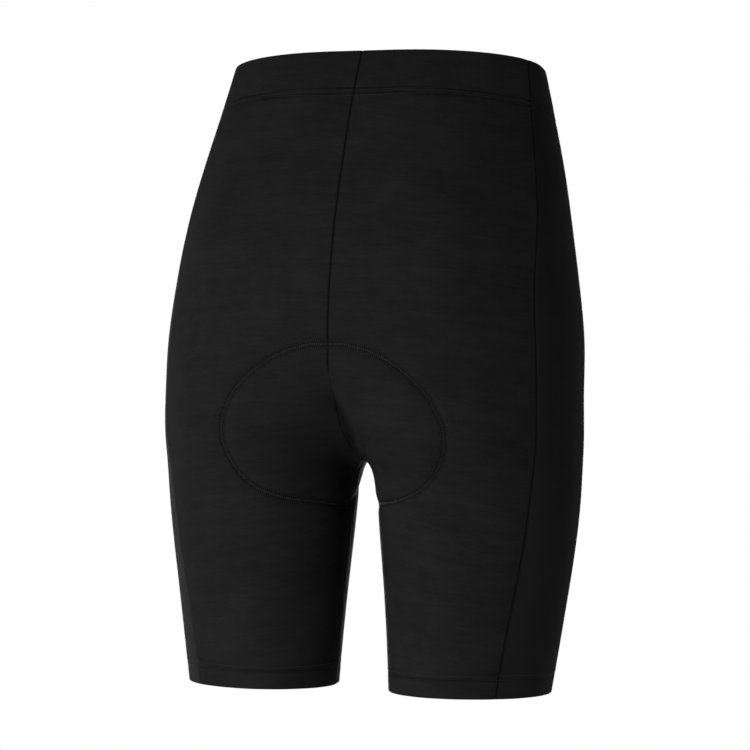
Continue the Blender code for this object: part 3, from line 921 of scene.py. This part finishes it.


# %% [markdown]
# The cloth is a fine jersey of nylon and elastane, dyed black. Its loops stand in upright
# wales, about eleven to a centimetre, each loop a small V. Dye takes unevenly along the
# courses, which gives faint level streaks. Shade is painted into the cloth's colour beside
# seams and stitches and round the pad's ring, placed by the meshes' "sewn" and "from_ring"
# attributes. The side panels are a deeper black.

# %% Knit finishes
WALE_WIDTH = 0.0009
COURSE_HEIGHT = 0.0007
TURN = 2.0 * math.pi
# The ring's painted shade: its width, its needle rows' distance from the ring, and their width.
RING_SHADE_WIDTH = 0.0036
RING_NEEDLE = RING_STITCHES[1] * MM
NEEDLE_SHADE = 0.0009


def knit_finish(name, dark, light, roughness, gloss):
    """Black stretch knit with wales, courses and streaks, and shade painted along its stitching.
    """
    finish = Finish(name, roughness, Specular_IOR_Level=gloss)
    cloth = finish.add("ShaderNodeUVMap", {"uv_map": "cloth"}).outputs[0]
    parts = finish.add("ShaderNodeSeparateXYZ", None, {"Vector": cloth}).outputs
    across, down = Number(finish, parts[0]), Number(finish, parts[1])
    wale = (across * (math.pi / WALE_WIDTH)).cosine().size()
    course = ((down / COURSE_HEIGHT + wale * 0.35) * TURN).cosine()
    loops = wale * 0.7 + course * 0.3
    fine_streaks = finish.noise(finish.mapped(cloth, (70.0, 520.0, 1.0)), 1.0, 3.0, 0.6)
    broad_streaks = finish.noise(finish.mapped(cloth, (14.0, 110.0, 1.0)), 1.0, 2.0)
    place = finish.add("ShaderNodeTexCoord").outputs["Object"]
    mottle = finish.noise(place, 24.0, 4.0, 0.6)
    grain = finish.noise(place, 900.0, 2.0)
    share = fine_streaks * 0.8 + broad_streaks * 0.5 + mottle * 0.7 + grain * 0.5 - 0.8
    share = share + loops * 0.12 + finish.marked("inside") * 0.25
    # Painted shade: a dark strip along the pad's ring and its two needle rows, and darker cloth
    # beside seams and stitches.
    from_ring = finish.marked("from_ring")
    needle_row_shade = (from_ring.size() - RING_NEEDLE).near(NEEDLE_SHADE)
    ring_shade = from_ring.near(RING_SHADE_WIDTH) * 0.7 + needle_row_shade * 0.5
    share = share - finish.marked("sewn") * 0.9 - ring_shade
    finish.link(finish.colour(share, dark, light), "Base Color")
    finish.link(broad_streaks * 0.1 + (roughness - 0.05), "Roughness")
    finish.bump(loops + grain * 0.5 + fine_streaks * 0.6, 0.00012, 0.6)
    return finish.material


cloth_finish = knit_finish(
    "black_knit", (0.0052, 0.0053, 0.0056), (0.0148, 0.0148, 0.0152), 0.65, 0.02,
)
side_finish = knit_finish(
    "deep_black_knit", (0.0028, 0.0029, 0.0031), (0.0070, 0.0070, 0.0074), 0.5, 0.08,
)
print("finishes:", cloth_finish.name, side_finish.name)

# %% [markdown]
# With the shells and the finishes ready, the six panels are made. Each stands for its solid in
# the frame, which it hides.

# %% The six panels
root = "root"
collection = bpy.data.collections.new("cycling_shorts_dressed")
bpy.context.scene.collection.children.link(collection)
surfaces = {}


def placed(name, mesh, material, slot, *nodes):
    """Put a finished mesh into the scene, riding on the garment."""
    mesh.materials.clear()
    mesh.materials.append(material)
    piece = bpy.data.objects.new(name, mesh)
    collection.objects.link(piece)
    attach(piece, root)
    if nodes:
        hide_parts(*nodes)
    return piece


panels = {}
for part in ("back", "front", "side"):
    for hand, sign in (("left", 1.0), ("right", -1.0)):
        node = part + "_" + hand
        shape = fine[part] * np.array([sign, 1.0, 1.0])
        outer, inner, across, down, marks = shell_points(shape, part != "side")
        surfaces[node] = (outer, down, form_normal(shape))
        mesh = shell_mesh(node + "_cloth", outer, inner, across, down, marks)
        material = side_finish if part == "side" else cloth_finish
        panels[node] = placed(node + "_cloth", mesh, material, node, node)
        print(node, "triangles:", sum(len(face.vertices) - 2 for face in mesh.polygons))

# %% [markdown]
# The pad is foam between two layers of brushed fleece. It lies just inside the cloth, thickest
# under the sit bones and thin at its edge, with a channel down its middle. Its face towards
# the wearer shows through the waist opening.

# %% The seat pad
PAD_THICKNESSES = (
    (0.0, 2.0), (12.0, 3.5), (35.0, 8.0), (70.0, 10.0), (110.0, 9.0), (160.0, 7.0),
    (220.0, 6.0), (262.0, 4.5), (290.0, 2.0),
)
PAD_EDGE = 2.0
PAD_CHANNEL_DEPTH = 0.4
PAD_CHANNEL_WIDTH = 9.0
PAD_CLEARANCE = 1.1
PAD_ROW_STEP = 2.6
PAD_HALF_COLUMNS = 34
PAD_CROWDING = 0.8


def pad_grid():
    """The pad's points on the form, from right to left, and its thickness at each."""
    along = np.linspace(0.0, PAD_LENGTH, int(PAD_LENGTH / PAD_ROW_STEP) + 1)
    half_widths = table_curve(PAD_HALF_WIDTHS)(along)
    columns = np.linspace(0.0, 1.0, PAD_HALF_COLUMNS + 1) ** PAD_CROWDING
    left = walked_rows(pad_starts(along), columns, half_widths)
    right = left[:, :0:-1] * np.array([-1.0, 1.0, 1.0])
    grid = np.concatenate([right, left], 1)
    share = np.concatenate([-columns[:0:-1], columns])
    offset = share[None, :] * half_widths[:, None]
    body = np.maximum(1.0 - np.abs(share) ** 3, 0.0)[None, :]
    lobe = table_curve(PAD_THICKNESSES)(along)[:, None] - PAD_EDGE
    channel = 1.0 - PAD_CHANNEL_DEPTH * np.exp(-((offset / PAD_CHANNEL_WIDTH) ** 2))
    thickness = PAD_EDGE + lobe * body * channel
    from_edge = half_widths[:, None] - np.abs(offset)
    from_end = np.minimum(along, PAD_LENGTH - along)[:, None]
    edge = np.minimum(from_edge, from_end)
    thickness = thickness + dent(edge - 5.0, 0.5, 1.4) - rounding(edge, 0.9)
    side_groove = np.abs(np.abs(offset) - 0.55 * half_widths[:, None])
    seat = ramp(along, 25.0, 45.0) * ramp(150.0 - along, 0.0, 40.0)
    thickness = thickness + dent(side_groove, 1.6, 4.5) * seat[:, None]
    return grid, np.maximum(thickness, 0.4), offset, along


def pad_mesh(name):
    """The closed pad, lying inside the cloth, in metres."""
    grid, thickness, offset, along = pad_grid()
    rows, columns = grid.shape[:2]
    normal = form_normal(grid)
    outer = grid + normal * (cleft_relief(grid) - CLOTH_WALL - PAD_CLEARANCE)[..., None]
    inner = outer - normal * thickness[..., None]
    points = np.concatenate([outer.reshape(-1, 3), inner.reshape(-1, 3)])
    size = rows * columns
    index = np.arange(size).reshape(rows, columns)
    quads = np.stack([index[:-1, :-1], index[:-1, 1:], index[1:, 1:], index[1:, :-1]], -1)
    quads = quads.reshape(-1, 4)
    faces = quads.tolist() + (quads[:, ::-1] + size).tolist()
    border = list(index[0]) + list(index[1:, -1]) + list(index[-1, -2::-1])
    border += list(index[-2:0:-1, 0])
    for here, there in zip(border, border[1:] + border[:1]):
        faces.append([here, there, there + size, here + size])
    uv = np.stack([offset, np.broadcast_to(along[:, None], offset.shape)], -1) * MM
    return finished_mesh(name, points, faces, np.concatenate([uv.reshape(-1, 2)] * 2))


def fleece_finish():
    """Brushed fleece: short soft fibres in tufts."""
    finish = Finish("pad_fleece", 0.9, Sheen_Weight=0.35, Sheen_Roughness=0.5)
    place = finish.add("ShaderNodeTexCoord").outputs["Object"]
    tufts = finish.noise(place, 420.0, 4.0, 0.65)
    patches = finish.noise(place, 45.0, 2.0)
    share = tufts * 0.7 + patches * 0.5 - 0.1
    finish.link(finish.colour(share, (0.014, 0.0145, 0.016), (0.052, 0.053, 0.058)), "Base Color")
    finish.link(tufts * 0.12 + 0.82, "Roughness")
    finish.bump(tufts, 0.0006, 0.8)
    return finish.material


pad = placed("seat_pad_foam", pad_mesh("seat_pad_foam"), fleece_finish(), "seat_pad", "seat_pad")
print("pad vertices:", len(pad.data.vertices))

# %% [markdown]
# Stitches repeat by the thousand, which is work for Geometry Nodes. The tree takes lines that
# lie on the cloth, cuts them into even steps and lays one short bead of thread on each, turned
# the way that the line's "lay" says. Needle thread lies along its row: two rows run round the
# waist, two round each hem and two round the pad. Between the pad's two rows a cover thread
# goes to and fro, so its beads lie across.

# %% Geometry Nodes tree for stitches
NEEDLE_THREAD = {"Spacing": 0.0017, "Length": 0.0012, "Thickness": 0.00046, "Unevenness": 0.3}
COVER_THREAD = {"Spacing": 0.0016, "Length": 0.0044, "Thickness": 0.00034, "Unevenness": 0.3}
STITCH_SEED = 7


def stitch_tree():
    """Beads of thread along every line of a mesh."""
    tree = bpy.data.node_groups.new("stitches_along_lines", "GeometryNodeTree")
    face = tree.interface
    face.new_socket("Geometry", in_out="INPUT", socket_type="NodeSocketGeometry")
    for label, value in NEEDLE_THREAD.items():
        face.new_socket(label, in_out="INPUT", socket_type="NodeSocketFloat").default_value = value
    face.new_socket("Thread", in_out="INPUT", socket_type="NodeSocketMaterial")
    face.new_socket("Geometry", in_out="OUTPUT", socket_type="NodeSocketGeometry")

    def add(kind, settings=None, values=None):
        node = tree.nodes.new(kind)
        for setting, value in (settings or {}).items():
            setattr(node, setting, value)
        for socket, value in (values or {}).items():
            if isinstance(value, bpy.types.NodeSocket):
                tree.links.new(value, node.inputs[socket])
            else:
                node.inputs[socket].default_value = value
        return node

    given = add("NodeGroupInput").outputs
    line = add("GeometryNodeMeshToCurve", None, {"Mesh": given["Geometry"]}).outputs[0]
    steps = add("GeometryNodeCurveToPoints", {"mode": "LENGTH"},
                {"Curve": line, "Length": given["Spacing"]})
    outward = add("GeometryNodeInputNamedAttribute", {"data_type": "FLOAT_VECTOR"},
                  {"Name": "outward"}).outputs[0]
    lay = add("GeometryNodeInputNamedAttribute", {"data_type": "FLOAT_VECTOR"},
              {"Name": "lay"}).outputs[0]
    along = add("FunctionNodeAlignRotationToVector", {"axis": "X"}, {"Vector": lay}).outputs[0]
    flat = add("FunctionNodeAlignRotationToVector", {"axis": "Z", "pivot_axis": "X"},
               {"Rotation": along, "Vector": outward}).outputs[0]
    half = add("ShaderNodeMath", {"operation": "MULTIPLY"}, {0: given["Length"], 1: 0.5})
    thin = add("ShaderNodeMath", {"operation": "MULTIPLY"}, {0: given["Thickness"], 1: 0.5})
    low = add("ShaderNodeMath", {"operation": "SUBTRACT"}, {0: 1.0, 1: given["Unevenness"]})
    size = add("FunctionNodeRandomValue", {"data_type": "FLOAT"},
               {2: low.outputs[0], 3: 1.0, "Seed": STITCH_SEED})
    shape = add("ShaderNodeCombineXYZ", None,
                {0: half.outputs[0], 1: thin.outputs[0], 2: thin.outputs[0]})
    scale = add("ShaderNodeVectorMath", {"operation": "SCALE"},
                {0: shape.outputs[0], "Scale": size.outputs[1]})
    bead = add("GeometryNodeMeshUVSphere", None, {"Segments": 6, "Rings": 5, "Radius": 1.0})
    beads = add("GeometryNodeInstanceOnPoints", None, {
        "Points": steps.outputs["Points"], "Instance": bead.outputs["Mesh"],
        "Rotation": flat, "Scale": scale.outputs[0],
    })
    real = add("GeometryNodeRealizeInstances", None, {"Geometry": beads.outputs[0]})
    smooth = add("GeometryNodeSetShadeSmooth", None, {"Geometry": real.outputs[0]})
    dyed = add("GeometryNodeSetMaterial", None,
               {"Geometry": smooth.outputs[0], "Material": given["Thread"]})
    add("NodeGroupOutput", None, {"Geometry": dyed.outputs[0]})
    return tree


stitches = stitch_tree()
print("nodes in the stitch tree:", len(stitches.nodes))

# %% [markdown]
# The stitch lines are read off the finished outer surface: a row of the grid at each needle's
# distance from the waist or the hem, and the pad's ring moved out or in. Each panel gets its
# own stitches, so that they go with their cloth.

# %% Stitch lines
STITCH_LIFT = 0.10


def row_nearest(values, wanted):
    """The row whose typical distance is nearest the wanted one."""
    return int(np.argmin(np.abs(np.median(values, axis=1) - wanted)))


def panel_lines(node):
    """Needle lines round the waist and the hem of one panel: points, outward, lay."""
    outer, down, normal = surfaces[node]
    up = down[-1:] - down
    rows = [row_nearest(down, at) for at in CASING_STITCHES]
    rows += [row_nearest(up, at) for at in HEM_STITCHES]
    inside = slice(1, -1)
    return [
        (outer[row, inside], normal[row, inside], np.gradient(outer[row, inside], axis=0))
        for row in rows
    ]


def ring_lines(part, sign, at, across):
    """One line beside the pad's ring, as far as it lies on one back or front panel."""
    inseam_y = np.interp(-ring[:, 2], -inseam_line[:, 2], inseam_line[:, 1])
    behind = ring[:, 1] > inseam_y
    chosen = behind if part == "back" else ~behind
    mirror = np.array([sign, 1.0, 1.0])
    line = settle(ring + ring_outward * at)[chosen] * mirror
    normal = form_normal(line)
    lay = ring_outward[chosen] * mirror if across else np.gradient(line, axis=0)
    return line + normal * place_relief(line)[:, None], normal, lay


def line_mesh(name, lines):
    """Open lines as the edges of a mesh that remembers the outward and the lay directions."""
    points, edges, outward, lay = [], [], [], []
    for line, normal, direction in lines:
        first = len(points)
        points += ((line + normal * STITCH_LIFT - ORIGIN) * MM).tolist()
        outward += normal.tolist()
        lay += direction.tolist()
        edges += [(first + i, first + i + 1) for i in range(len(line) - 1)]
    mesh = bpy.data.meshes.new(name)
    mesh.from_pydata(points, edges, [])
    for label, vectors in (("outward", outward), ("lay", lay)):
        attribute = mesh.attributes.new(label, "FLOAT_VECTOR", "POINT")
        attribute.data.foreach_set("vector", np.array(vectors).ravel())
    return mesh


# %% [markdown]
# Sewing thread is smoother than the cloth, so each stitch catches a small glint.

# %% Thread and the stitches themselves
thread = Finish("black_thread", 0.4, Specular_IOR_Level=0.3)
twist = thread.noise(thread.add("ShaderNodeTexCoord").outputs["Object"], 2500.0, 1.0)
thread.link(thread.colour(twist, (0.005, 0.005, 0.0053), (0.022, 0.022, 0.0225)), "Base Color")
thread.bump(twist, 0.00005, 0.5)


def stitched(name, lines, thread_sizes):
    """The beads along some lines, as a plain mesh."""
    guide = bpy.data.objects.new(name, line_mesh(name, lines))
    collection.objects.link(guide)
    modifier = guide.modifiers.new("stitches", "NODES")
    modifier.node_group = stitches
    for item in stitches.interface.items_tree:
        if item.name == "Thread":
            modifier[item.identifier] = thread.material
        elif item.name in thread_sizes:
            modifier[item.identifier] = thread_sizes[item.name]
    graph = bpy.context.evaluated_depsgraph_get()
    mesh = bpy.data.meshes.new_from_object(guide.evaluated_get(graph), depsgraph=graph)
    guide.modifiers.clear()
    bpy.data.objects.remove(guide, do_unlink=True)
    return mesh


def sewn(node):
    """All the stitches on one panel."""
    part, hand = node.split("_")
    sign = 1.0 if hand == "left" else -1.0
    needle = panel_lines(node)
    rungs = []
    if part != "side":
        needle += [ring_lines(part, sign, at, False) for at in RING_STITCHES]
        rungs = [ring_lines(part, sign, 0.0, True)]
    both = bmesh.new()
    both.from_mesh(stitched(node + "_needle_lines", needle, NEEDLE_THREAD))
    if rungs:
        both.from_mesh(stitched(node + "_cover_lines", rungs, COVER_THREAD))
    mesh = bpy.data.meshes.new(node + "_stitches")
    both.to_mesh(mesh)
    both.free()
    mesh.shade_smooth()
    return placed(node + "_stitches", mesh, thread.material, node)


stitching = {node: sewn(node) for node in panels}
for node, piece in stitching.items():
    print(node, "stitch faces:", len(piece.data.polygons))

# %% [markdown]
# The widths of each panel's rows are measured across its outer face.

for node, piece in panels.items():
    outer, down, normal = surfaces[node]
    across = np.linalg.norm(np.diff(outer, axis=1), axis=2).sum(1)

# %% [markdown]
# The photograph's setting is plain white with a large soft light from the wearer's left. A
# wide pale floor lies well under the hems and a pale surround lights the cloth evenly. The
# big left lamp gives the shape its bright side, and weaker ones soften the rest.

# %% Floor, light and camera
FLOOR_HEIGHT = -0.90
FLOOR_RADIUS = 1.2
LAMP_SIZE = 1.4
LAMP_TARGET = (0.0, 0.03, -0.26)


def pale_floor():
    """A round pale floor."""
    shape = bmesh.new()
    bmesh.ops.create_circle(shape, cap_ends=True, segments=96, radius=FLOOR_RADIUS)
    bmesh.ops.translate(shape, verts=shape.verts, vec=(0.0, 0.0, FLOOR_HEIGHT))
    mesh = bpy.data.meshes.new("pale_floor")
    shape.to_mesh(mesh)
    shape.free()
    mesh.materials.append(Finish("pale_paint", 0.8, Base_Color=(0.85, 0.85, 0.85, 1.0)).material)
    floor = bpy.data.objects.new("pale_floor", mesh)
    bpy.context.scene.collection.objects.link(floor)


def lamp(name, place, power):
    """A square soft light that faces the shorts."""
    light = bpy.data.lights.new(name, "AREA")
    light.shape = "SQUARE"
    light.size = LAMP_SIZE
    light.energy = power
    item = bpy.data.objects.new(name, light)
    item.location = place
    item.rotation_euler = (Vector(LAMP_TARGET) - Vector(place)).to_track_quat("-Z", "Y").to_euler()
    bpy.context.scene.collection.objects.link(item)


def pale_surround(seen, shed):
    """A white surround that the camera sees brighter than it lights."""
    world = bpy.data.worlds.new("pale_surround")
    bpy.context.scene.world = world
    world.use_nodes = True
    nodes, links = world.node_tree.nodes, world.node_tree.links
    background = nodes["Background"]
    background.inputs["Color"].default_value = (1.0, 1.0, 1.0, 1.0)
    path = nodes.new("ShaderNodeLightPath")
    level = nodes.new("ShaderNodeMapRange")
    level.inputs["To Min"].default_value = shed
    level.inputs["To Max"].default_value = seen
    links.new(path.outputs["Is Camera Ray"], level.inputs["Value"])
    links.new(level.outputs[0], background.inputs["Strength"])


pale_floor()
pale_surround(1.0, 0.10)
lamp("key_left", (2.16, 1.81, -0.26), 60.0)
lamp("rim_left", (2.62, -0.95, -0.26), 7.0)
lamp("soft_behind", (0.98, 2.65, -0.26), 34.0)
lamp("soft_right", (-2.62, 1.01, -0.26), 23.0)
lamp("soft_high", (-1.36, 1.69, 1.54), 8.0)
lamp("soft_front", (0.93, -2.61, -0.26), 60.0)

# %% [markdown]
# The photograph looks at the back, from a little to the wearer's right, level with the seat
# and from a fair distance, so the lens is long. The picture leans by less than a degree.

# %% Camera
CAMERA_AZIMUTH = 199.5
CAMERA_DISTANCE = 2.3
CAMERA_TARGET = (0.0, 0.046, -0.251)
CAMERA_ROLL = 0.7
CAMERA_LENS = 134.6
CAMERA_SHIFT = 0.0043

data = bpy.data.cameras.new("camera")
data.sensor_width = 36.0
data.lens = CAMERA_LENS
data.shift_x = CAMERA_SHIFT
camera = bpy.data.objects.new("camera", data)
bpy.context.scene.collection.objects.link(camera)
azimuth = math.radians(CAMERA_AZIMUTH)
towards = Vector((math.sin(azimuth), -math.cos(azimuth), 0.0))
upright = towards.to_track_quat("Z", "Y").to_matrix().to_4x4()
camera.matrix_world = (
    Matrix.Translation(Vector(CAMERA_TARGET) + towards * CAMERA_DISTANCE)
    @ upright @ Matrix.Rotation(math.radians(CAMERA_ROLL), 4, "Z")
)
bpy.context.scene.camera = camera
bpy.context.scene.view_settings.view_transform = "Standard"
print("camera at", [round(value, 3) for value in camera.matrix_world.translation])
